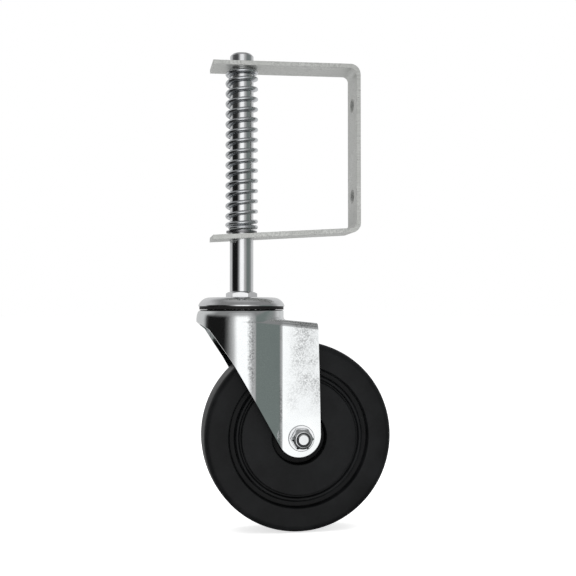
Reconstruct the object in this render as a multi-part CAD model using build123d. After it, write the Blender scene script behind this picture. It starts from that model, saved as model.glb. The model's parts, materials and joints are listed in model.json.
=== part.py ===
from build123d import *
from math import asin, atan2, cos, hypot, pi, radians, sin, sqrt, tan
import os

# Spring-loaded swivel gate wheel: a strap bracket that screws to a gate, a sprung guide rod and a caster.
#
# Every piece is drawn with Z along the guide rod's axis, Z = 0 at the wheel's axle, +X from the rod towards
# the gate and Y along the axle.  Saving moves it to the part's own frame: origin on the bracket's back face,
# midway between its two screw holes, +X out of that face.  Lengths are in millimetres, angles in degrees.

# ---- bracket
REACH = 80.0               # rod axis to back face
OVERHANG = 20.6            # leg beyond the rod axis
STRAP_WIDTH = 25.4
STRAP_T = 3.0
BRACKET_HEIGHT = 115.0
BRACKET_MID_Z = 194.5      # height of the bracket's middle above the axle
SCREW_RIM = 0.55           # plain hole left under the countersink
BEND_R = 7.0               # outside radius of the bends
UPPER_DROOP = 0.9          # the upper leg leans down towards the rod
LOWER_SPLAY = 3.6          # the spring holds the lower leg slightly open
SCREW_SPACING = 63.5
SCREW_R = 2.75
SINK_R = 5.2               # countersink, on the rod's side of the plate

# ---- guide rod and spring
ROD_R = 7.95
ROD_TOP = 258.0
ROD_CHAMFER = 1.5
SLIDE_PLAY = 0.08          # all round the rod in the bracket's holes
BODY_GAP = 0.35            # air between pieces that move apart
CLIP_R = 10.4
CLIP_T = 1.5
CLIP_GROOVE = 0.7
CLIP_GAP = 3.0             # opening of the ring
CLIP_TURN = 100.0
WIRE_R = 1.42
SPRING_R = 9.65            # mean radius of the coils
CLOSED_PITCH = 2.95
CLOSED_TURNS = 0.8         # at each end
ACTIVE_TURNS = 14.7
SPRING_START = -57.0       # where the wire's lower end lies, about the rod
POINTS_PER_TURN = 12

# ---- swivel
CAP_R = 29.0
CAP_TOP = 92.9
CAP_RIM_Z = 86.7
SEAL_NECK_R = 27.4         # inside of the cap's rim
CROWN_TOP = 84.2
UPPER_BALL_R = 3.57
UPPER_RING_R = 21.0
UPPER_COUNT = 17
LOWER_BALL_R = 2.38
LOWER_RING_R = 13.5
LOWER_COUNT = 15
GROOVE_DEPTH = 0.7
BALL_PLAY = 0.03
KINGPIN_R = 6.0
PIN_PLAY = 0.08
STUD_R = 5.0
STUD_LENGTH = 22.0
RIVET_R = 9.0
RIVET_T = 3.6
RACE_T = 2.6
RACE_BORDER = 4.0          # lower race beyond its ball row
HEX_FLATS = 18.4
HEX_T = 3.4
HEX_TURN = -12.0

# ---- fork
SHEET = 2.5
FORK_GAP = 40.0            # between the two axle pads
SKIRT_R = 30.4             # round front of the fork
CROWN_R = 28.4             # raised ring under the seal
CROWN_EDGE = 0.6
CROWN_BLEND_R = 2.5        # hollow radius between the crown's wall and the roof
WEB_X = 5.8                # where the round front turns into the slanting web
PAD_X = 23.2               # where the web turns into the flat axle pad
WEB_BEND_R = 8.0           # outside radius of the upright bends
ROOF_BEND_R = 5.0
REAR_X = 49.4
ROOF_REAR_X = 48.3
ROOF_REAR_Z = 75.6
ROOF_SLOPE = 5.7           # the roof rises towards the front
SKIRT_Z = 76.5             # lower edge at the very front
BROW_X = -23.4             # where the front edge turns down into the legs
BROW_Z = 71.2
KNEE_X = -10.0
KNEE_Z = 51.6
TIP_X = 35.5               # centre of the legs' rounded ends
TIP_Z = 2.0
TIP_R = 14.4

# ---- wheel and its bearing
TRAIL = 36.8               # axle behind the rod's axis
WHEEL_R = 63.5
RIM_HALF = 15.9            # half the width at the outer rim
FACE_HALF = 16.3           # half the width at the raised inner face
TREAD_CROWN = 0.35
SHOULDER_R = 4.4
HUB_HALF = 18.5
HUB_R = 14.0
RECESS_R = 18.2            # recess round the hub
RECESS_DEPTH = 6.5
SLOT_R = 39.4              # narrow slot outside the inner face
SLOT_DEPTH = 2.4
RIDGE_R = 41.4             # narrow ridge between slot and groove
RIDGE_DEPTH = 0.7
GROOVE_R = 44.7            # wide groove under the rim
GROOVE_HALF = 1.7
WHEEL_GROOVE_DEPTH = 4.4
EDGE = 0.5                 # edge break on moulded corners
SLEEVE_R = 6.35
ROLLER_R = 2.0
ROLLER_COUNT = 8
ROLLER_LENGTH = 26.0
ROLLER_PLAY = 0.05
SHELL_T = 1.05
THRUST_T = 1.2

# ---- axle hardware, M8
BOLT_R = 4.0
BOLT_PLAY = 0.2            # all round the bolt in the pieces it clamps
WASHER_R = 8.6
WASHER_T = 1.4
NUT_FLATS = 13.0
NUT_HEX_T = 5.6
NUT_T = 7.2
COLLAR_R = 5.9
INSERT_R = 4.9
INSERT_DEPTH = 2.4         # pocket for the insert, from the collar's end
HEAD_T = 5.3
BOLT_TAIL = 0.5            # bolt end beyond the nut

# ---- worked out from the above
PAD_OUT = FORK_GAP / 2 + SHEET
PLATE_TOP = BRACKET_MID_Z + BRACKET_HEIGHT / 2
PLATE_BOTTOM = BRACKET_MID_Z - BRACKET_HEIGHT / 2
UPPER_UNDERSIDE = PLATE_TOP - STRAP_T - (REACH - STRAP_T) * tan(radians(UPPER_DROOP))
LOWER_TOP = PLATE_BOTTOM + STRAP_T - (REACH - STRAP_T) * tan(radians(LOWER_SPLAY))
CLIP_Z = LOWER_TOP + CLIP_R * tan(radians(LOWER_SPLAY)) + BODY_GAP
SPRING_BOTTOM = CLIP_Z + CLIP_T
SPRING_TOP = UPPER_UNDERSIDE - (SPRING_R + WIRE_R) * tan(radians(UPPER_DROOP)) - 0.05
ROD_BOTTOM = CAP_TOP + HEX_T
SHELL_IN = SLEEVE_R + 2 * ROLLER_R + 2 * ROLLER_PLAY
SHELL_OUT = SHELL_IN + SHELL_T
UPPER_BALL_Z = CROWN_TOP - GROOVE_DEPTH + BALL_PLAY + UPPER_BALL_R
CROWN_UNDERSIDE = CROWN_TOP - SHEET
CROWN_BASE = CROWN_UNDERSIDE - 2 * SHEET
LOWER_BALL_Z = CROWN_UNDERSIDE + GROOVE_DEPTH - BALL_PLAY - LOWER_BALL_R
CAP_UNDERSIDE = UPPER_BALL_Z + UPPER_BALL_R + BALL_PLAY - GROOVE_DEPTH
RACE_TOP = LOWER_BALL_Z - LOWER_BALL_R - BALL_PLAY + GROOVE_DEPTH
RACE_UNDERSIDE = RACE_TOP - RACE_T
UP = (Align.CENTER, Align.CENTER, Align.MIN)
PAST = 20.0                # how far cutters run past what they cut


# ---- shapes used by several pieces

def ring(outer, inner, low, high):
    """Plain ring about the Z axis."""
    body = Cylinder(outer, high - low, align=UP)
    hole = Cylinder(inner, high - low, align=UP)
    return Pos(0, 0, low) * (body - hole)


def turned(points):
    """Closed profile of (radius, height) points turned about the Z axis."""
    profile = make_face(Polyline(*[(r, 0, z) for r, z in points], close=True))
    return revolve(profile, Axis.Z)


def hexagon(flats, height):
    """Hexagonal prism standing on Z = 0 with its top corners turned down."""
    corner = flats / sqrt(3)
    prism = extrude(RegularPolygon(corner, 6), height)
    land = flats / 2 - 0.3
    drop = (corner + 1 - land) * tan(radians(30))
    return prism & turned([(0, 0), (corner + 1, 0), (corner + 1, height - drop), (land, height), (0, height)])


def on_axle(shape, y=0.0):
    """Moves a shape drawn about Z on to the wheel's axle, its +Z becoming +Y."""
    return Pos(TRAIL, y, 0) * Rot(-90, 0, 0) * shape


def on_near_side(shape, y):
    """As on_axle, but facing -Y from the distance y."""
    return Pos(TRAIL, -y, 0) * Rot(90, 0, 0) * shape


def ball_row(ball_r, ring_r, count, z):
    """Separate balls evenly round the rod's axis."""
    return [Rot(0, 0, 360 * i / count) * Pos(ring_r, 0, z) * Sphere(ball_r) for i in range(count)]


def groove(ball_r, ring_r, z):
    """Torus that cuts a ball row's groove."""
    return Pos(0, 0, z) * Torus(ring_r, ball_r + BALL_PLAY)


# ---- bracket, rod and spring

def bracket():
    """Strap bent into a C, drilled for the rod in both legs and countersunk for two screws in the plate."""
    end_x = -OVERHANG
    high = tan(radians(UPPER_DROOP))
    low = tan(radians(LOWER_SPLAY))
    inner_x = REACH - STRAP_T
    inner_high = PLATE_TOP - STRAP_T
    inner_low = PLATE_BOTTOM + STRAP_T
    points = [
        (end_x, PLATE_TOP - (REACH - end_x) * high),
        (REACH, PLATE_TOP),
        (REACH, PLATE_BOTTOM),
        (end_x, PLATE_BOTTOM - (REACH - end_x) * low),
        (end_x + STRAP_T * low, inner_low - (inner_x - end_x) * low),
        (inner_x, inner_low),
        (inner_x, inner_high),
        (end_x + STRAP_T * high, inner_high - (inner_x - end_x) * high),
    ]
    profile = make_face(Plane.XZ * Polyline(*points, close=True))
    body = extrude(profile, STRAP_WIDTH / 2, both=True)
    corners = body.edges().filter_by(Axis.Y)
    body = fillet([e for e in corners if e.center().X > REACH - 0.1], BEND_R)
    inside = [e for e in body.edges().filter_by(Axis.Y) if near_point(e, inner_x, (inner_low, inner_high))]
    body = fillet(inside, BEND_R - STRAP_T)
    body -= Pos(0, 0, BRACKET_MID_Z) * Cylinder(ROD_R + SLIDE_PLAY, BRACKET_HEIGHT + PAST)
    for side in (1, -1):
        body -= Pos(0, 0, BRACKET_MID_Z + side * SCREW_SPACING / 2) * screw_hole()
    return body


def near_point(edge, x, heights):
    """True for an edge that passes the given X at one of the given heights."""
    place = edge.center()
    return abs(place.X - x) < 0.1 and min(abs(place.Z - z) for z in heights) < 0.1


def screw_hole():
    """Cutter for a countersunk hole through the plate, widening towards the rod."""
    sink_depth = SINK_R - SCREW_R
    cutter = Pos(0, 0, -PAST) * Cylinder(SCREW_R, 2 * PAST, align=UP)
    cutter += Cone(SCREW_R, SINK_R, sink_depth, align=UP)
    cutter += Pos(0, 0, sink_depth) * Cylinder(SINK_R, PAST, align=UP)
    return Pos(REACH - SCREW_RIM, 0, 0) * Rot(0, -90, 0) * cutter


def guide_rod():
    """Round bar with chamfered ends, a groove for the clip and a threaded bore for the swivel's stud."""
    body = Cylinder(ROD_R, ROD_TOP - ROD_BOTTOM, align=UP)
    body = chamfer(body.edges().group_by(Axis.Z)[-1], ROD_CHAMFER)
    body = chamfer(body.edges().group_by(Axis.Z)[0], 0.4)
    body = Pos(0, 0, ROD_BOTTOM) * body
    body -= ring(ROD_R + 1, ROD_R - CLIP_GROOVE, CLIP_Z, CLIP_Z + CLIP_T)
    return body - Pos(0, 0, ROD_BOTTOM) * Cylinder(STUD_R, STUD_LENGTH + 1, align=UP)


def spring_clip():
    """Open retaining ring in the rod's groove."""
    body = ring(CLIP_R, ROD_R - CLIP_GROOVE, CLIP_Z, CLIP_Z + CLIP_T)
    opening = Rot(0, 0, CLIP_TURN) * Pos(CLIP_R, 0, CLIP_Z) * Box(2 * CLIP_R, CLIP_GAP, PAST)
    return body - opening


def spring():
    """Right-handed compression spring with one closed coil at each end."""
    low = SPRING_BOTTOM + WIRE_R
    high = SPRING_TOP - WIRE_R
    pitch = (high - low - 2 * CLOSED_TURNS * CLOSED_PITCH) / ACTIVE_TURNS
    turns = ACTIVE_TURNS + 2 * CLOSED_TURNS
    steps = round(turns * POINTS_PER_TURN)
    points = []
    for i in range(steps + 1):
        turn = turns * i / steps
        closed_low = min(turn, CLOSED_TURNS) * CLOSED_PITCH
        active = min(max(turn - CLOSED_TURNS, 0), ACTIVE_TURNS) * pitch
        closed_high = max(turn - CLOSED_TURNS - ACTIVE_TURNS, 0) * CLOSED_PITCH
        angle = radians(SPRING_START) + 2 * pi * turn
        height = low + closed_low + active + closed_high
        points.append((SPRING_R * cos(angle), SPRING_R * sin(angle), height))
    path = Spline(*points)
    start = Plane(origin=path @ 0, z_dir=path % 0)
    return sweep(start * Circle(WIRE_R), path=path, is_frenet=True)


def swivel_stem():
    """Threaded stud, hexagonal collar and kingpin in one, its lower end riveted over the lower race."""
    stud = Pos(0, 0, ROD_BOTTOM) * Cylinder(STUD_R, STUD_LENGTH, align=UP)
    collar = Pos(0, 0, CAP_TOP) * Rot(0, 0, HEX_TURN) * hexagon(HEX_FLATS, HEX_T)
    pin = Pos(0, 0, RACE_UNDERSIDE) * Cylinder(KINGPIN_R, CAP_TOP - RACE_UNDERSIDE, align=UP)
    low = RACE_UNDERSIDE - RIVET_T
    head = turned([(0, RACE_UNDERSIDE), (RIVET_R, RACE_UNDERSIDE), (RIVET_R, RACE_UNDERSIDE - RIVET_T / 3),
                   (KINGPIN_R, low), (0, low)])
    return stud + collar + pin + head


# ---- swivel bearing

def top_cap():
    """Domed pressed cap, grooved underneath for the upper balls and turned down at its rim."""
    flat_r = CAP_R - 8.0
    flat_z = CAP_TOP - 0.3
    rim_z = CAP_TOP - 5.6
    dome = ThreePointArc((flat_r, 0, flat_z), (CAP_R - 2.7, 0, CAP_TOP - 1.9), (CAP_R, 0, rim_z))
    bend = CAP_UNDERSIDE - 1.4
    corners = [(CAP_R, rim_z), (CAP_R, CAP_RIM_Z), (SEAL_NECK_R, CAP_RIM_Z), (SEAL_NECK_R, bend),
               (SEAL_NECK_R - 1.4, CAP_UNDERSIDE), (KINGPIN_R, CAP_UNDERSIDE), (KINGPIN_R, CAP_TOP),
               (HEX_FLATS / 2 + 2, CAP_TOP), (flat_r, flat_z)]
    body = revolve(make_face([dome, Polyline(*[(r, 0, z) for r, z in corners])]), Axis.Z)
    return body - groove(UPPER_BALL_R, UPPER_RING_R, UPPER_BALL_Z)


def seal_ring():
    """Ring pressed inside the cap's rim that closes the gap above the fork."""
    outer = CROWN_R
    inner = UPPER_RING_R + UPPER_BALL_R + 0.8
    return turned([(outer, CROWN_TOP + BODY_GAP), (outer, CAP_RIM_Z), (SEAL_NECK_R, CAP_RIM_Z),
                   (SEAL_NECK_R, CAP_RIM_Z + 1.0), (inner, CAP_RIM_Z + 1.0), (inner, CROWN_TOP + BODY_GAP)])


def lower_race():
    """Dished ring under the crown, grooved for the lower balls."""
    outer = LOWER_RING_R + RACE_BORDER
    body = ring(outer, KINGPIN_R, RACE_UNDERSIDE, RACE_TOP)
    body = chamfer(body.edges().filter_by(GeomType.CIRCLE).sort_by(SortBy.RADIUS)[-2:], 0.5)
    return body - groove(LOWER_BALL_R, LOWER_RING_R, LOWER_BALL_Z)


def upper_balls():
    return ball_row(UPPER_BALL_R, UPPER_RING_R, UPPER_COUNT, UPPER_BALL_Z)


def lower_balls():
    return ball_row(LOWER_BALL_R, LOWER_RING_R, LOWER_COUNT, LOWER_BALL_Z)


# ---- fork

def fork_column(inset):
    """The fork's outline seen from above, as a tall column; inset moves its walls inwards."""
    slant = atan2(sqrt(SKIRT_R ** 2 - WEB_X ** 2) - PAD_OUT, PAD_X - WEB_X)
    rise = tan(slant)
    front = SKIRT_R - inset
    pad_y = PAD_OUT - inset
    pad_x = PAD_X - inset * tan(slant / 2)
    reach = pad_y + pad_x * rise
    web_x = (rise * reach - sqrt(front ** 2 * (1 + rise ** 2) - reach ** 2)) / (1 + rise ** 2)
    web_y = reach - web_x * rise
    rear = REAR_X + PAST
    walls = Polyline((web_x, -web_y), (pad_x, -pad_y), (rear, -pad_y), (rear, pad_y), (pad_x, pad_y),
                     (web_x, web_y))
    nose = ThreePointArc((web_x, web_y), (-front, 0), (web_x, -web_y))
    column = extrude(make_face([walls, nose]), CROWN_TOP + 2 * PAST)
    bends = [e for e in column.edges().filter_by(Axis.Z) if e.center().X < PAD_X + 1]
    return Pos(0, 0, -PAST) * fillet(bends, WEB_BEND_R - inset)


def roof_z(x, drop=0.0):
    """Height of the fork's sloping roof at a place along X."""
    return ROOF_REAR_Z - drop + (ROOF_REAR_X - x) * tan(radians(ROOF_SLOPE))


def bent_roof(column, side, drop, bend_r):
    """The part of a column inside a side outline, with the bend between roof and walls rounded."""
    body = column & extrude(make_face(side), SKIRT_R + PAST, both=True)
    return fillet([e for e in body.edges() if on_roof(e, drop)], bend_r)


def on_roof(edge, drop):
    """True for an edge of the roof other than the straight one across its rear."""
    places = [edge @ t for t in (0.0, 0.5, 1.0)]
    flush = all(abs(p.Z - roof_z(p.X, drop)) < 0.02 for p in places)
    return flush and min(p.X for p in places) < ROOF_REAR_X - 1.0


def on_crown_foot(edge):
    """True for an edge where the crown's wall meets the roof or its bend."""
    places = [edge @ t for t in (0.0, 0.5, 1.0)]
    return all(abs(hypot(p.X, p.Y) - CROWN_R) < 0.02 and CROWN_BASE < p.Z < CROWN_UNDERSIDE + 1 for p in places)


def fork():
    """Pressed sheet fork: a round crown and skirt running back into two flat legs that hold the axle."""
    margin = 4.0
    front_x = -SKIRT_R - margin
    front_z = SKIRT_Z + margin * (SKIRT_Z - BROW_Z) / (SKIRT_R + BROW_X)
    run = TIP_X - KNEE_X
    fall = KNEE_Z - TIP_Z
    reach = hypot(run, fall)
    lean = atan2(fall, run) + asin(TIP_R / reach)
    edge = sqrt(reach ** 2 - TIP_R ** 2)
    touch = (KNEE_X + edge * cos(lean), KNEE_Z - edge * sin(lean))
    tip_rear = (TIP_X + TIP_R, TIP_Z)
    outline = [tip_rear, (REAR_X, TIP_Z + 2 * TIP_R), (ROOF_REAR_X, ROOF_REAR_Z), (front_x, roof_z(front_x)),
               (front_x, front_z), (BROW_X, BROW_Z), (KNEE_X, KNEE_Z), touch]
    side = [Plane.XZ * Polyline(*outline), Plane.XZ * ThreePointArc(touch, (TIP_X, TIP_Z - TIP_R), tip_rear)]
    body = bent_roof(fork_column(0), side, 0, ROOF_BEND_R)
    body += turned([(0, CROWN_BASE), (CROWN_R, CROWN_BASE), (CROWN_R, CROWN_TOP - CROWN_EDGE),
                    (CROWN_R - CROWN_EDGE, CROWN_TOP), (0, CROWN_TOP)])
    body = fillet([e for e in body.edges() if on_crown_foot(e)], CROWN_BLEND_R)
    rear = REAR_X + PAST
    inside = [(rear, -PAST), (rear, roof_z(rear, SHEET)), (front_x, roof_z(front_x, SHEET)), (front_x, -PAST)]
    inside_face = Plane.XZ * Polyline(*inside, close=True)
    body -= bent_roof(fork_column(SHEET), inside_face, SHEET, ROOF_BEND_R - SHEET)
    well_z = RACE_UNDERSIDE - 1.0
    body -= Pos(0, 0, well_z) * Cylinder(CROWN_R - SHEET, CROWN_UNDERSIDE - well_z, align=UP)
    body -= Pos(0, 0, CROWN_TOP) * Cylinder(KINGPIN_R + PIN_PLAY, PAST)
    body -= groove(UPPER_BALL_R, UPPER_RING_R, UPPER_BALL_Z)
    body -= groove(LOWER_BALL_R, LOWER_RING_R, LOWER_BALL_Z)
    return body - on_axle(Cylinder(BOLT_R + BOLT_PLAY, 2 * PAD_OUT + PAST))


# ---- wheel and its bearing

def side_profile():
    """Half profile of the wheel's side from the bore outwards, as (radius, distance from the middle)."""
    floor = FACE_HALF - RECESS_DEPTH
    slot = FACE_HALF - SLOT_DEPTH
    ridge = FACE_HALF - RIDGE_DEPTH
    deep = FACE_HALF - WHEEL_GROOVE_DEPTH
    inner = GROOVE_R - GROOVE_HALF
    outer = GROOVE_R + GROOVE_HALF
    hub = [(SHELL_OUT, HUB_HALF), (HUB_R - EDGE, HUB_HALF), (HUB_R, HUB_HALF - EDGE), (HUB_R, floor)]
    face = [(RECESS_R, floor), (RECESS_R, FACE_HALF - EDGE), (RECESS_R + EDGE, FACE_HALF),
            (SLOT_R - 3 * EDGE, FACE_HALF), (SLOT_R - 2 * EDGE, FACE_HALF - EDGE)]
    rings = [(SLOT_R - EDGE, slot), (SLOT_R + EDGE, slot), (RIDGE_R - 2 * EDGE, ridge - EDGE),
             (RIDGE_R - EDGE, ridge), (RIDGE_R + EDGE, ridge), (RIDGE_R + 2 * EDGE, ridge - EDGE),
             (inner, deep), (outer, deep)]
    rim = [(outer + EDGE, RIM_HALF - EDGE), (outer + 2 * EDGE, RIM_HALF),
           (WHEEL_R - TREAD_CROWN - SHOULDER_R, RIM_HALF)]
    return hub + face + rings + rim


def wheel():
    """One-piece solid wheel: raised hub, ringed side faces and a slightly crowned tread."""
    half = side_profile()
    edge_r = WHEEL_R - TREAD_CROWN
    bulge = SHOULDER_R * (1 - cos(pi / 4))
    tread = RIM_HALF - SHOULDER_R
    lines = [ThreePointArc((edge_r, 0, tread), (WHEEL_R, 0, 0), (edge_r, 0, -tread))]
    for side in (1, -1):
        lines.append(Polyline(*[(r, 0, side * y) for r, y in half]))
        start = (half[-1][0], 0, side * RIM_HALF)
        middle = (edge_r - bulge, 0, side * (RIM_HALF - bulge))
        lines.append(ThreePointArc(start, middle, (edge_r, 0, side * tread)))
    lines.append(Line((SHELL_OUT, 0, HUB_HALF), (SHELL_OUT, 0, -HUB_HALF)))
    return on_axle(revolve(make_face(lines), Axis.Z))


def bearing_shell():
    """Steel tube pressed in the hub; the rollers run inside it."""
    return on_axle(ring(SHELL_OUT, SHELL_IN, -HUB_HALF, HUB_HALF))


def rollers():
    """Rollers between the sleeve and the shell."""
    blank = Cylinder(ROLLER_R, ROLLER_LENGTH)
    blank = chamfer(blank.edges().filter_by(GeomType.CIRCLE), 0.3)
    roller = Pos(SLEEVE_R + ROLLER_R + ROLLER_PLAY, 0, 0) * blank
    return [on_axle(Rot(0, 0, 360 * i / ROLLER_COUNT) * roller) for i in range(ROLLER_COUNT)]


def roller_cage():
    """Moulded tube that spaces the rollers, with a window for each."""
    half = HUB_HALF - 1.5
    body = ring(SLEEVE_R + 2 * ROLLER_R - 0.6, SLEEVE_R + 0.6, -half, half)
    window = Box(PAST, 2 * ROLLER_R + 0.3, ROLLER_LENGTH + 0.4, align=(Align.MIN, Align.CENTER, Align.CENTER))
    for i in range(ROLLER_COUNT):
        body -= Rot(0, 0, 360 * i / ROLLER_COUNT) * window
    return on_axle(body)


def axle_sleeve():
    """Hardened tube clamped between the fork's legs by the axle bolt."""
    return on_axle(ring(SLEEVE_R, BOLT_R + BOLT_PLAY, -FORK_GAP / 2, FORK_GAP / 2))


def thrust_washer():
    """Washer between the wheel's hub and a leg, lying on Z = 0."""
    return ring(HUB_R - 1.5, SLEEVE_R, 0, THRUST_T)


# ---- axle hardware

def axle_bolt():
    """Hexagon bolt with its head on the far side and its end through the nut."""
    under_head = PAD_OUT + WASHER_T
    end = PAD_OUT + WASHER_T + NUT_T + BOLT_TAIL
    shank = chamfer(Cylinder(BOLT_R, under_head + end, align=UP).edges().group_by(Axis.Z)[0], 0.8)
    return on_axle(Pos(0, 0, -end) * shank + Pos(0, 0, under_head) * hexagon(NUT_FLATS, HEAD_T))


def axle_nut():
    """Locking nut: a hexagon with a round collar turned in over its insert."""
    collar = turned([(0, 0), (COLLAR_R, 0), (COLLAR_R, NUT_T - 1.2), (COLLAR_R - 0.4, NUT_T - 0.4),
                     (COLLAR_R - 1.0, NUT_T), (0, NUT_T)])
    body = hexagon(NUT_FLATS, NUT_HEX_T) + collar
    body -= Pos(0, 0, NUT_T - INSERT_DEPTH) * Cylinder(INSERT_R, PAST, align=UP)
    return on_near_side(body - Cylinder(BOLT_R, PAST), PAD_OUT + WASHER_T)


def nut_insert():
    """Plastic ring in the nut's collar."""
    return on_near_side(ring(INSERT_R, BOLT_R, NUT_T - INSERT_DEPTH, NUT_T - 0.4), PAD_OUT + WASHER_T)


def axle_washer():
    """Plain washer lying on Z = 0."""
    body = ring(WASHER_R, BOLT_R + BOLT_PLAY, 0, WASHER_T)
    return chamfer(body.edges().filter_by(GeomType.CIRCLE).sort_by(SortBy.RADIUS)[-2:], 0.25)


# ---- saving

def save(name, shape):
    """Moves a piece, or a group of equal pieces, to the part's frame and writes its file."""
    place = Pos(-REACH, 0, -BRACKET_MID_Z)
    if isinstance(shape, list):
        placed = Compound(children=[place * one for one in shape])
    else:
        placed = place * shape
    export_step(placed, f"parts/{name}.step")


def main():
    os.makedirs("parts", exist_ok=True)
    for piece in (bracket, guide_rod, spring_clip, spring, swivel_stem, top_cap, seal_ring, upper_balls,
                  lower_balls, lower_race, fork, wheel, bearing_shell, rollers, roller_cage, axle_sleeve,
                  axle_bolt, axle_nut, nut_insert):
        save(piece.__name__, piece())
    save("near_thrust_washer", on_near_side(thrust_washer(), FORK_GAP / 2 - THRUST_T))
    save("far_thrust_washer", on_axle(thrust_washer(), FORK_GAP / 2 - THRUST_T))
    save("nut_washer", on_near_side(axle_washer(), PAD_OUT))
    save("head_washer", on_axle(axle_washer(), PAD_OUT))


main()
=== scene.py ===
import json
import math

import bmesh
import bpy
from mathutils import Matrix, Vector


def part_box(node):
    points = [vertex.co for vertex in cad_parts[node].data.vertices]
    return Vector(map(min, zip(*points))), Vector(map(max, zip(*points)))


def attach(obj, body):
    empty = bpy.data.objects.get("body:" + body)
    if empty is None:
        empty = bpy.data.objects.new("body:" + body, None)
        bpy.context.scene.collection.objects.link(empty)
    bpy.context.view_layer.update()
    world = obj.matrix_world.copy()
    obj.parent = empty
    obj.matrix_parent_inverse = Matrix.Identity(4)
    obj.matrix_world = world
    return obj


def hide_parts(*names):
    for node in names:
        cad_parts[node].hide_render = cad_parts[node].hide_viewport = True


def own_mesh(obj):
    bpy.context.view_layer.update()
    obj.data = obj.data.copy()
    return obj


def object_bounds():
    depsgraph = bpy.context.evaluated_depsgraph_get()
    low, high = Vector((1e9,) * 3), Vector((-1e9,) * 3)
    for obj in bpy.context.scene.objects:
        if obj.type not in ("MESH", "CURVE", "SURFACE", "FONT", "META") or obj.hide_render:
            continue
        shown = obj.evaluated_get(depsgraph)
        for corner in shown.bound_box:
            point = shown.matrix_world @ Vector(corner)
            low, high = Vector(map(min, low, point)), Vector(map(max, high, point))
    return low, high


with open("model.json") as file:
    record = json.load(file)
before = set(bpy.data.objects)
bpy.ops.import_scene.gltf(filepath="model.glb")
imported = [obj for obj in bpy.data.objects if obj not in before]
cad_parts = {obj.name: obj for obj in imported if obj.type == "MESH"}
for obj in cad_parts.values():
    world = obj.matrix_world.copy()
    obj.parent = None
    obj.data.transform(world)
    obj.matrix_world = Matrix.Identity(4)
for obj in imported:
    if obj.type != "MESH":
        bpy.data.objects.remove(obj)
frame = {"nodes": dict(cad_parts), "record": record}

# Looks for the gate wheel.  Lengths are metres in the part's frame: +Z up, +Y along the axle.

MM = 0.001
RECORD = frame["record"]
JOINTS = {j["name"]: j for j in RECORD["behaviour"]["joints"]}
AXLE = Vector(JOINTS["wheel_spin"]["pos_m"])
CAD_BOX = [list(corner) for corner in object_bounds()]
FLOOR_Z = CAD_BOX[0][2]

# The photographer's camera
CAMERA_AT = (-154.9 * MM, -618.7 * MM, -112.65 * MM)
CAMERA_YAW = -9.792
CAMERA_PITCH = 1.587
LENS_MM = 57.54

# The studio's right wall, which the fork's web reflects
WALL_GREEN = (0.185, 0.215, 0.205)

# Rod and spring; the spring's turns are closed up at each end, more so at the lower one
ROD_X = JOINTS["swivel"]["pos_m"][0]
WIRE_R = 1.42 * MM
LOW_CLOSED_TURNS = 1.17
TOP_CLOSED_TURNS = 0.8
CLOSED_PITCH = 2.90 * MM
ACTIVE_TURNS = 14.59
SPRING_START = math.radians(-150.0)
WIRE_SIDES = 18
STEPS_PER_TURN = 48

# Half profile of the wheel's side, from the bore outwards, in mm: radius, distance from the middle,
# corner radius
WHEEL_SIDE = [
    (11.5, 18.5, 0.3), (14.0, 18.5, 0.8), (14.0, 9.8, 0.9), (18.2, 9.8, 0.9), (18.2, 16.3, 0.8),
    (38.5, 16.3, 0.7), (38.9, 13.9, 0.4), (39.9, 13.9, 0.4), (40.7, 15.6, 0.5), (42.1, 15.6, 0.6),
    (43.1, 11.9, 0.8), (46.4, 11.9, 0.8), (47.1, 15.9, 0.7), (63.12, 15.9, 4.4),
]
TREAD_CROWN = 0.35 * MM
TREAD_STEPS = 12
ARC_STEPS = 6
WHEEL_SEGMENTS = 192

# Fork: crown, and the bends where the webs and the flat axle pads begin, measured from the rod's axis
CROWN_R = 28.4 * MM
CROWN_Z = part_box("fork")[1][2]
WEB_X = 2.6 * MM
PAD_X = 23.2 * MM
# Each bend's place, the half width of its worn band and how worn it is
WORN_BENDS = ((PAD_X, 1.6 * MM, 1.0), (WEB_X, 3.2 * MM, 1.2))
# Where the pads' wear sets in: height above the axle, and distance past the bend
WORN_ABOVE = (13 * MM, 24 * MM)
WORN_PAST_BEND = (2 * MM, 12 * MM)

# Axle hardware, M8
BOLT_R = 4.0 * MM
COLLAR_R = 5.9 * MM
NUT_SEGMENTS = 144

# CAD nodes shown as copies with rounded edges: node, name, edge radius in mm
SOFTENED = (
    ("bracket", "bracket_strap", 0.30), ("fork", "fork_pressing", 0.35), ("guide_rod", "guide_bar", 0.20),
    ("swivel_stem", "stem_collar", 0.20), ("nut_washer", "nut_side_washer", 0.15),
    ("head_washer", "head_side_washer", 0.15), ("axle_bolt", "hex_bolt", 0.15),
    ("spring_clip", "retaining_clip", 0.15),
)
SHARP_EDGE = math.radians(28.0)

# Noise scales of the plated metals, per metre
CLOUDS = 55.0
WAVES = 60.0
STREAKS = 800.0
SPOTS = 900.0
GRAIN = 1500.0

# The studio's walls: light level by azimuth in degrees, from -Y towards +X, low down and high up
LOW_ZONES = (
    (-180, 0.62), (-121, 0.64), (-113, 0.40), (-106, 0.06), (-98, 0.01), (-50, 0.01), (-40, 0.14),
    (-27, 0.58), (-17, 1.25), (11, 1.25), (18, 0.6), (38, 0.36), (46, WALL_GREEN), (75, WALL_GREEN),
    (95, 0.34), (112, 0.72), (180, 0.66),
)
HIGH_ZONES = (
    (-180, 0.7), (-110, 0.6), (-80, 0.24), (-45, 0.26), (-20, 0.5), (15, 0.5), (40, 0.26), (95, 0.26),
    (120, 0.6), (180, 0.7),
)
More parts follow.
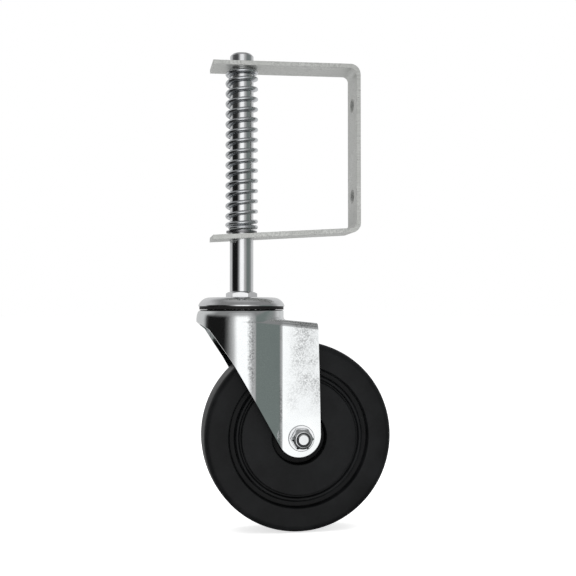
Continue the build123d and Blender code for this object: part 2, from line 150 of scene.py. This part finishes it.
# By elevation in degrees: share of the high zones, level at the poles, share of the poles
HIGH_SHARE = ((-90, 0.0), (12, 0.0), (24, 1.0), (90, 1.0))
POLE_LEVEL = ((-90, 0.03), (-30, 0.07), (30, 0.3), (58, 0.25), (90, 0.45))
POLE_SHARE = ((-90, 1.0), (-40, 1.0), (-22, 0.0), (36, 0.0), (60, 1.0), (90, 1.0))


# ---- node helpers

class Surface:
    """A material under construction, with short calls for the nodes it needs."""

    def __init__(self, name, color, metallic, roughness):
        self.material = bpy.data.materials.new(name)
        self.material.use_nodes = True
        self.tree = self.material.node_tree
        self.shader = self.tree.nodes["Principled BSDF"]
        self.set("Base Color", (*color, 1.0))
        self.set("Metallic", metallic)
        self.set("Roughness", roughness)
        self.coords = self.tree.nodes.new("ShaderNodeTexCoord").outputs["Object"]

    def set(self, socket, value):
        self.shader.inputs[socket].default_value = value

    def link(self, output, socket):
        self.tree.links.new(output, self.shader.inputs[socket])

    def node(self, kind, **values):
        made = self.tree.nodes.new(kind)
        for key, value in values.items():
            setattr(made, key, value)
        return made

    def feed(self, node, socket, value):
        if isinstance(value, bpy.types.NodeSocket):
            self.tree.links.new(value, node.inputs[socket])
        else:
            node.inputs[socket].default_value = value

    def stretched(self, scale):
        """Object coordinates scaled differently along each axis."""
        mapping = self.node("ShaderNodeMapping")
        self.feed(mapping, "Vector", self.coords)
        mapping.inputs["Scale"].default_value = scale
        return mapping.outputs["Vector"]

    def noise(self, scale, detail=3.0, coords=None, rough=0.55):
        made = self.node("ShaderNodeTexNoise")
        self.feed(made, "Vector", coords or self.coords)
        made.inputs["Scale"].default_value = scale
        made.inputs["Detail"].default_value = detail
        made.inputs["Roughness"].default_value = rough
        return made.outputs["Fac"]

    def spread(self, value, low, high, to_low, to_high):
        made = self.node("ShaderNodeMapRange")
        self.feed(made, "Value", value)
        for socket, number in zip(("From Min", "From Max", "To Min", "To Max"), (low, high, to_low, to_high)):
            made.inputs[socket].default_value = number
        return made.outputs["Result"]

    def math(self, operation, a, b=0.0):
        made = self.node("ShaderNodeMath", operation=operation)
        self.feed(made, 0, a)
        self.feed(made, 1, b)
        return made.outputs[0]

    def blend(self, factor, a, b):
        """Colour a where factor is 0 and b where it is 1."""
        made = self.node("ShaderNodeMix", data_type="RGBA")
        self.feed(made, 0, factor)
        for socket, value in ((6, a), (7, b)):
            linked = isinstance(value, bpy.types.NodeSocket)
            self.feed(made, socket, value if linked else (*value, 1.0))
        return made.outputs[2]

    def bump(self, height, distance, strength=1.0, under=None):
        made = self.node("ShaderNodeBump")
        self.feed(made, "Height", height)
        made.inputs["Distance"].default_value = distance
        made.inputs["Strength"].default_value = strength
        if under is not None:
            self.tree.links.new(under, made.inputs["Normal"])
        return made.outputs["Normal"]


# ---- materials

def plated(name, color, dark, roughness, spangle, mottle, streak_axis=None, worn=None, metallic=1.0):
    """Plated or bare metal: cloudy colour, with patches of fine darker mottling as strong as mottle (0 to 1).

    A streak axis adds the fine lines that drawing or rolling leaves along it.  Where the metal is mottled
    only in places, worn gives the share of mottling at each place.
    """
    surface = Surface(name, color, metallic, roughness)
    cloud = surface.noise(CLOUDS, 4.0)
    grain = surface.noise(GRAIN, 2.0, rough=0.6)
    if streak_axis:
        along = tuple(0.05 if axis == streak_axis else 1.0 for axis in "XYZ")
        streaks = surface.math("MULTIPLY", surface.noise(STREAKS, 3.0, surface.stretched(along)), 0.6)
        grain = surface.math("ADD", surface.math("MULTIPLY", grain, 0.4), streaks)
    patch = surface.spread(cloud, 0.40, 0.58, 0.1, 1.0)
    if worn:
        patch = surface.math("MULTIPLY", patch, worn(surface))
    spots = surface.spread(surface.noise(SPOTS, 2.0, rough=0.5), 0.36, 0.64, 0.12 * mottle, 0.85 * mottle)
    mottling = surface.math("MULTIPLY", spots, patch)
    tone = surface.math("ADD", surface.math("MULTIPLY", cloud, 0.5), surface.math("MULTIPLY", grain, 0.5))
    plain = surface.blend(surface.spread(tone, 0.38, 0.62, 0.0, 1.0), dark, color)
    pitted = tuple(0.35 * channel for channel in dark)
    surface.link(surface.blend(mottling, plain, pitted), "Base Color")
    surface.link(surface.spread(grain, 0.35, 0.65, roughness - spangle, roughness + spangle), "Roughness")
    waves = surface.bump(surface.noise(WAVES, 2.0), 0.03 * MM, 0.6)
    pits = surface.bump(mottling, -0.02 * MM, 1.0, waves)
    surface.link(surface.bump(grain, 0.008 * MM, 0.5, pits), "Normal")
    return surface.material


def bright_zinc():
    return plated("bright_zinc_plate", (0.80, 0.81, 0.82), (0.68, 0.69, 0.70), 0.13, 0.05, 0.0, "Z")


def worn_places(surface):
    """High on the flat axle pads above the axle and along the bends either side of the web, low elsewhere."""
    axes = surface.node("ShaderNodeSeparateXYZ")
    surface.feed(axes, 0, surface.coords)
    low, high = (AXLE.z + z for z in WORN_ABOVE)
    above = surface.spread(axes.outputs["Z"], low, high, 0.0, 1.0)
    near, far = (ROD_X + PAD_X + x for x in WORN_PAST_BEND)
    pad = surface.spread(axes.outputs["X"], near, far, 0.12, 1.0)
    share = surface.math("MULTIPLY", above, pad)
    for bend, half, most in WORN_BENDS:
        middle = ROD_X + bend
        before = surface.spread(axes.outputs["X"], middle - half, middle - half / 3, 0.0, most)
        after = surface.spread(axes.outputs["X"], middle + half / 3, middle + half, 1.0, 0.0)
        share = surface.math("MAXIMUM", share, surface.math("MULTIPLY", before, after))
    return share


def fork_zinc():
    return plated("fork_zinc_plate", (0.86, 0.88, 0.88), (0.76, 0.78, 0.79), 0.11, 0.04, 0.9,
                  worn=worn_places)


def dull_zinc():
    return plated("dull_zinc_plate", (0.70, 0.71, 0.69), (0.45, 0.46, 0.44), 0.36, 0.10, 0.45, "X",
                  metallic=0.70)


def spring_steel():
    return plated("spring_wire_zinc", (0.76, 0.78, 0.80), (0.60, 0.62, 0.64), 0.17, 0.05, 0.0)


def race_steel():
    return plated("ground_steel", (0.56, 0.56, 0.57), (0.45, 0.45, 0.46), 0.30, 0.08, 0.0, "Y")


def ball_steel():
    return plated("polished_steel", (0.78, 0.78, 0.79), (0.72, 0.72, 0.73), 0.08, 0.03, 0.0)


def black_steel():
    surface = Surface("dark_spring_steel", (0.30, 0.30, 0.31), 1.0, 0.24)
    grain = surface.noise(1800.0, 3.0)
    surface.link(surface.blend(grain, (0.16, 0.16, 0.17), (0.42, 0.42, 0.43)), "Base Color")
    surface.link(surface.spread(grain, 0.3, 0.7, 0.18, 0.34), "Roughness")
    surface.link(surface.bump(grain, 0.02 * MM, 0.4), "Normal")
    return surface.material


def moulded(name, color, roughness, specular, grain_scale, grain_depth):
    """Moulded plastic or rubber with a fine grain and faint cloudy wear."""
    surface = Surface(name, color, 0.0, roughness)
    surface.set("Specular IOR Level", specular)
    cloud = surface.noise(40.0, 5.0, rough=0.65)
    lighter = tuple(2.2 * channel + 0.002 for channel in color)
    surface.link(surface.blend(surface.spread(cloud, 0.35, 0.7, 0.0, 1.0), color, lighter), "Base Color")
    grain = surface.noise(grain_scale, 3.0)
    surface.link(surface.spread(cloud, 0.3, 0.7, roughness - 0.06, roughness + 0.1), "Roughness")
    surface.link(surface.bump(grain, grain_depth * MM, 0.5), "Normal")
    return surface.material


def wheel_rubber():
    return moulded("wheel_satin_black", (0.0045, 0.0048, 0.0052), 0.40, 0.15, 1500.0, 0.02)


def seal_rubber():
    return moulded("seal_black", (0.006, 0.006, 0.006), 0.5, 0.2, 1200.0, 0.02)


def insert_nylon():
    return moulded("insert_nylon", (0.02, 0.021, 0.023), 0.4, 0.4, 1500.0, 0.01)


def cage_plastic():
    return moulded("cage_nylon", (0.03, 0.03, 0.03), 0.5, 0.4, 900.0, 0.02)


MATERIALS = {
    "dull_zinc": dull_zinc(), "bright_zinc": bright_zinc(), "fork_zinc": fork_zinc(),
    "spring_steel": spring_steel(), "black_steel": black_steel(), "race_steel": race_steel(),
    "ball_steel": ball_steel(), "seal_rubber": seal_rubber(), "insert_nylon": insert_nylon(),
    "wheel_rubber": wheel_rubber(), "cage_plastic": cage_plastic(),
}
SLOT_OF = {part["node"]: part["material_slot"] for part in RECORD["subparts"]}
BODY_OF = {node: body for body, nodes in RECORD["behaviour"]["bodies"].items() for node in nodes}


def dress_cad_nodes():
    """Gives every CAD node the material of its slot."""
    for name, obj in frame["nodes"].items():
        for slot in obj.material_slots:
            slot.material = MATERIALS[SLOT_OF[name]]


# ---- pieces

def add_piece(name, mesh, node):
    """Puts a mesh in the scene in place of a CAD node."""
    piece = bpy.data.objects.new(name, mesh)
    bpy.context.scene.collection.objects.link(piece)
    mesh.materials.clear()
    mesh.materials.append(MATERIALS[SLOT_OF[node]])
    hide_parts(node)
    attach(piece, BODY_OF[node])
    return piece


def shade_smooth(mesh):
    """Shades a mesh smooth all over."""
    for polygon in mesh.polygons:
        polygon.use_smooth = True


def sharpen(mesh, degrees):
    """Shades a mesh smooth except across edges that turn by more than the angle."""
    mesh.set_sharp_from_angle(angle=math.radians(degrees))


def finished(name, built):
    """A mesh from bmesh work that is done."""
    mesh = bpy.data.meshes.new(name)
    built.to_mesh(mesh)
    built.free()
    return mesh


def soften(node, name, radius):
    """A copy of a CAD node with its sharp edges rounded, as deburred or pressed metal has."""
    built = bmesh.new()
    built.from_mesh(frame["nodes"][node].data)
    bmesh.ops.remove_doubles(built, verts=built.verts, dist=0.002 * MM)
    bmesh.ops.dissolve_limit(built, angle_limit=math.radians(0.3), verts=built.verts, edges=built.edges)
    edges = [e for e in built.edges if e.is_manifold and e.calc_face_angle(0.0) > SHARP_EDGE]
    bmesh.ops.bevel(built, geom=edges, offset=radius, segments=3, profile=0.5, affect="EDGES",
                    clamp_overlap=True)
    mesh = finished(name, built)
    shade_smooth(mesh)
    piece = add_piece(name, mesh, node)
    weighted = piece.modifiers.new("weighted normals", "WEIGHTED_NORMAL")
    weighted.weight = 90


def rounded(corners, steps):
    """An open line of (x, y, radius) corners with each inner corner turned into an arc."""
    line = [Vector(corners[0][:2])]
    for before, here, after in zip(corners, corners[1:], corners[2:]):
        corner = Vector(here[:2])
        back = (Vector(before[:2]) - corner).normalized()
        ahead = (Vector(after[:2]) - corner).normalized()
        half = back.angle(ahead) / 2
        reach = here[2] / math.tan(half)
        centre = corner + (back + ahead).normalized() * here[2] / math.sin(half)
        start = corner + back * reach - centre
        turn = start.angle_signed(corner + ahead * reach - centre)
        for i in range(steps + 1):
            angle = -turn * i / steps
            cos, sin = math.cos(angle), math.sin(angle)
            line.append(centre + Vector((start.x * cos - start.y * sin, start.x * sin + start.y * cos)))
    line.append(Vector(corners[-1][:2]))
    return line


def bridge(built, one, two):
    """Faces between two closed loops of corners."""
    count = len(one)
    for k in range(count):
        built.faces.new((one[k], one[(k + 1) % count], two[(k + 1) % count], two[k]))


def closed_tube(name, rings):
    """A mesh from a closed loop of rings, each a list of points."""
    built = bmesh.new()
    loops = [[built.verts.new(point) for point in ring] for ring in rings]
    for one, two in zip(loops, loops[1:] + loops[:1]):
        bridge(built, one, two)
    bmesh.ops.recalc_face_normals(built, faces=built.faces)
    mesh = finished(name, built)
    shade_smooth(mesh)
    return mesh


def make_wheel():
    """The moulded wheel, turned about the axle with every edge eased."""
    end_r, half_width, shoulder = WHEEL_SIDE[-1]
    side = rounded(WHEEL_SIDE + [(end_r, 0.0, 0.0)], ARC_STEPS)[:-1]
    tread = half_width - shoulder
    profile = [(r * MM, y * MM) for r, y in side]
    for i in range(1, TREAD_STEPS):
        y = tread * (1 - 2 * i / TREAD_STEPS)
        profile.append((end_r * MM + TREAD_CROWN * (1 - (y / tread) ** 2), y * MM))
    profile += [(r * MM, -y * MM) for r, y in reversed(side)]
    rings = []
    for i in range(WHEEL_SEGMENTS):
        angle = 2 * math.pi * i / WHEEL_SEGMENTS
        cos, sin = math.cos(angle), math.sin(angle)
        rings.append([AXLE + Vector((r * cos, y, r * sin)) for r, y in profile])
    add_piece("moulded_wheel", closed_tube("moulded_wheel", rings), "wheel")


def make_crown_flare():
    """The drawn shoulder where the fork's crown swells into its round front, fading out towards the roof."""
    top, bottom = CROWN_Z - 0.6 * MM, CROWN_Z - 7.7 * MM
    skin_r, root_r = CROWN_R + 0.02 * MM, CROWN_R - 0.5 * MM
    swell = ROD_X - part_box("fork")[0][0] - skin_r
    reach = math.radians(130)
    whole, gone = -0.10, -0.62  # cosines of the angles from the front where the fading begins and ends
    steps, levels = 160, 14
    built = bmesh.new()
    loops = []
    for i in range(steps + 1):
        angle = -reach + 2 * reach * i / steps
        cos, sin = math.cos(angle), math.sin(angle)
        fade = min(max((cos - gone) / (whole - gone), 0.0), 1.0)
        fade = fade * fade * (3 - 2 * fade)
        profile = []
        for k in range(levels + 1):
            share = (k / levels) ** 2
            out = skin_r + swell * fade * math.sqrt(1 - (1 - share) ** 2)
            profile.append((out, top + (bottom - top) * share))
        profile += [(root_r, bottom), (root_r, top)]
        loops.append([built.verts.new((ROD_X - r * cos, r * sin, z)) for r, z in profile])
    for one, two in zip(loops, loops[1:]):
        bridge(built, one, two)
    built.faces.new(loops[0])
    built.faces.new(reversed(loops[-1]))
    bmesh.ops.recalc_face_normals(built, faces=built.faces)
    mesh = finished("crown_flare", built)
    shade_smooth(mesh)
    sharpen(mesh, 40.0)
    piece = bpy.data.objects.new("crown_flare", mesh)
    bpy.context.scene.collection.objects.link(piece)
    mesh.materials.append(MATERIALS["fork_zinc"])
    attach(piece, "fork")


def make_nut():
    """The locking nut: a hexagon turned down in a cone to the round collar that holds the insert."""
    low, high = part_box("axle_nut")
    base, end = high[1], low[1]
    flat_r = (high[2] - low[2]) / 2
    middle = Vector(((high[0] + low[0]) / 2, 0, (high[2] + low[2]) / 2))
    depth = base - end
    bore_r = BOLT_R + 0.05 * MM
    seat_r, corner_r = flat_r - 0.3 * MM, flat_r + 1.1 * MM
    mouth_r = middle.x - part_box("nut_insert")[0][0]
    chamfer, cone_start, cone_end, collar_foot = 0.8 * MM, 3.6 * MM, 5.2 * MM, 5.5 * MM
    lip, mouth_edge, mouth_depth = 1.1 * MM, 0.2 * MM, 1.4 * MM
    profile = [(bore_r, 0.0), (seat_r, 0.0), (corner_r, chamfer), (corner_r, cone_start),
               (COLLAR_R + 0.5 * MM, cone_end), (COLLAR_R + 0.05 * MM, collar_foot)]
    for i in range(ARC_STEPS + 1):
        angle = math.pi / 2 * i / ARC_STEPS
        profile.append((COLLAR_R - lip * (1 - math.cos(angle)), depth - lip * (1 - math.sin(angle))))
    profile += [(mouth_r, depth - mouth_edge), (mouth_r, depth - mouth_depth), (bore_r, depth - mouth_depth)]
    rings = []
    for i in range(NUT_SEGMENTS):
        angle = 2 * math.pi * i / NUT_SEGMENTS
        into_flat = angle % (math.pi / 3) - math.pi / 6
        hexagon_r = flat_r / math.cos(into_flat)
        out = Vector((math.cos(angle), 0, math.sin(angle)))
        rings.append([middle + Vector((0, base - d, 0)) + min(r, hexagon_r) * out for r, d in profile])
    piece = add_piece("locking_nut", closed_tube("locking_nut", rings), "axle_nut")
    sharpen(piece.data, 24.0)


def make_spring():
    """The coil spring, closed at both ends, built at one length; the real spring shortens as the rod slides
    up.
    """
    low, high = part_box("spring")
    bottom = low[2] + WIRE_R
    length = high[2] - low[2] - 2 * WIRE_R
    pitch = (length - (LOW_CLOSED_TURNS + TOP_CLOSED_TURNS) * CLOSED_PITCH) / ACTIVE_TURNS
    mean_r = (high[0] - low[0]) / 2 - WIRE_R
    turns = LOW_CLOSED_TURNS + ACTIVE_TURNS + TOP_CLOSED_TURNS
    steps = round(turns * STEPS_PER_TURN)
    points = []
    for i in range(steps + 1):
        turn = turns * i / steps
        closed_low = min(turn, LOW_CLOSED_TURNS) * CLOSED_PITCH
        active = min(max(turn - LOW_CLOSED_TURNS, 0), ACTIVE_TURNS) * pitch
        closed_high = max(turn - LOW_CLOSED_TURNS - ACTIVE_TURNS, 0) * CLOSED_PITCH
        angle = SPRING_START + 2 * math.pi * turn
        out = Vector((math.cos(angle), math.sin(angle), 0))
        points.append((Vector((ROD_X, 0, bottom + closed_low + active + closed_high)) + out * mean_r, out))
    built = bmesh.new()
    rings = []
    for i, (point, out) in enumerate(points):
        along = (points[min(i + 1, steps)][0] - points[max(i - 1, 0)][0]).normalized()
        up = along.cross(out).normalized()
        rings.append([built.verts.new(point + WIRE_R * (out * math.cos(a) + up * math.sin(a)))
                      for a in (2 * math.pi * k / WIRE_SIDES for k in range(WIRE_SIDES))])
    for one, two in zip(rings, rings[1:]):
        bridge(built, one, two)
    built.faces.new(reversed(rings[0]))
    built.faces.new(rings[-1])
    bmesh.ops.recalc_face_normals(built, faces=built.faces)
    mesh = finished("coil_spring", built)
    for polygon in mesh.polygons:
        polygon.use_smooth = len(polygon.vertices) == 4
    piece = add_piece("coil_spring", mesh, "spring")
    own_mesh(piece)


# ---- stage

def make_floor():
    """A white floor that glows a little, so that it meets the white background without an edge."""
    half = 30.0
    mesh = bpy.data.meshes.new("floor")
    corners = [(-half, -half, FLOOR_Z), (half, -half, FLOOR_Z), (half, half, FLOOR_Z), (-half, half, FLOOR_Z)]
    mesh.from_pydata(corners, [], [(0, 1, 2, 3)])
    floor = bpy.data.objects.new("floor", mesh)
    bpy.context.scene.collection.objects.link(floor)
    paper = Surface("floor_paper", (0.93, 0.93, 0.93), 0.0, 0.9)
    paper.set("Specular IOR Level", 0.0)
    paper.set("Emission Color", (1.0, 1.0, 1.0, 1.0))
    paper.set("Emission Strength", 0.7)
    mesh.materials.append(paper.material)
    floor.visible_glossy = False


def make_camera():
    """The camera at the viewing angle that was fitted to the object's edges."""
    data = bpy.data.cameras.new("camera")
    data.lens = LENS_MM
    data.sensor_width = 36.0
    camera = bpy.data.objects.new("camera", data)
    camera.location = CAMERA_AT
    camera.rotation_euler = (math.radians(90 + CAMERA_PITCH), 0.0, math.radians(CAMERA_YAW))
    bpy.context.scene.collection.objects.link(camera)
    bpy.context.scene.camera = camera


def fill_ramp(ramp, stops):
    """Sets a colour ramp at positions from 0 to 1; a level is a grey or a colour."""
    while len(ramp.elements) < len(stops):
        ramp.elements.new(0.5)
    for element, (position, level) in zip(ramp.elements, stops):
        element.position = position
        element.color = (*level, 1) if isinstance(level, tuple) else (level, level, level, 1)


def by_azimuth(stops):
    """Stops at azimuths in degrees, as positions on the world's level ramps."""
    return [((degrees + 180) / 360, level) for degrees, level in stops]


def by_elevation(stops):
    """Stops at elevations in degrees, as positions on the world's upright ramps."""
    return [((1 + math.sin(math.radians(degrees))) / 2, level) for degrees, level in stops]


def mixed(tree, factor, a, b):
    """Colour a where factor is 0 and b where it is 1."""
    made = tree.nodes.new("ShaderNodeMix")
    made.data_type = "RGBA"
    for socket, output in ((0, factor), (6, a), (7, b)):
        tree.links.new(output, made.inputs[socket])
    return made.outputs[2]


def make_world():
    """A white studio: softbox before the object, black flag on the left, grey-green wall on the right."""
    world = bpy.data.worlds.new("studio")
    world.use_nodes = True
    bpy.context.scene.world = world
    tree = world.node_tree
    tree.nodes.clear()
    new = tree.nodes.new
    link = tree.links.new
    split = new("ShaderNodeSeparateXYZ")
    link(new("ShaderNodeTexCoord").outputs["Generated"], split.inputs[0])
    turn = new("ShaderNodeMath")
    turn.operation = "ARCTAN2"
    link(split.outputs["X"], turn.inputs[0])
    away = new("ShaderNodeMath")
    away.operation = "MULTIPLY"
    away.inputs[1].default_value = -1.0
    link(split.outputs["Y"], away.inputs[0])
    link(away.outputs[0], turn.inputs[1])
    place = new("ShaderNodeMapRange")
    place.inputs["From Min"].default_value = -math.pi
    place.inputs["From Max"].default_value = math.pi
    link(turn.outputs[0], place.inputs["Value"])
    rise = new("ShaderNodeMapRange")
    rise.inputs["From Min"].default_value = -1.0
    link(split.outputs["Z"], rise.inputs["Value"])

    def ramp(source, stops):
        made = new("ShaderNodeValToRGB")
        link(source.outputs["Result"], made.inputs["Fac"])
        fill_ramp(made.color_ramp, stops)
        return made.outputs["Color"]

    low_walls, high_walls = ramp(place, by_azimuth(LOW_ZONES)), ramp(place, by_azimuth(HIGH_ZONES))
    walls = mixed(tree, ramp(rise, by_elevation(HIGH_SHARE)), low_walls, high_walls)
    lit = mixed(tree, ramp(rise, by_elevation(POLE_SHARE)), walls, ramp(rise, by_elevation(POLE_LEVEL)))
    seen = new("ShaderNodeMix")
    seen.data_type = "RGBA"
    link(new("ShaderNodeLightPath").outputs["Is Camera Ray"], seen.inputs[0])
    link(lit, seen.inputs[6])
    seen.inputs[7].default_value = (1.0, 1.0, 1.0, 1)
    background = new("ShaderNodeBackground")
    link(seen.outputs[2], background.inputs["Color"])
    link(background.outputs[0], new("ShaderNodeOutputWorld").inputs["Surface"])


def make_light(name, at, size, watts, shines_in_metal):
    """A square lamp that faces the origin."""
    data = bpy.data.lights.new(name, "AREA")
    data.shape = "SQUARE"
    data.size = size
    data.energy = watts
    light = bpy.data.objects.new(name, data)
    light.location = at
    light.rotation_euler = Vector(at).to_track_quat("Z", "Y").to_euler()
    light.visible_glossy = shines_in_metal
    bpy.context.scene.collection.objects.link(light)


# ---- making the scene

make_camera()
make_world()
make_floor()
make_light("overhead", at=(0.0, -0.1, 1.6), size=2.4, watts=26.0, shines_in_metal=False)
bpy.context.scene.view_settings.view_transform = "Standard"
dress_cad_nodes()

make_wheel()
make_spring()
make_nut()
make_crown_flare()
for node, name, radius in SOFTENED:
    soften(node, name, radius * MM)
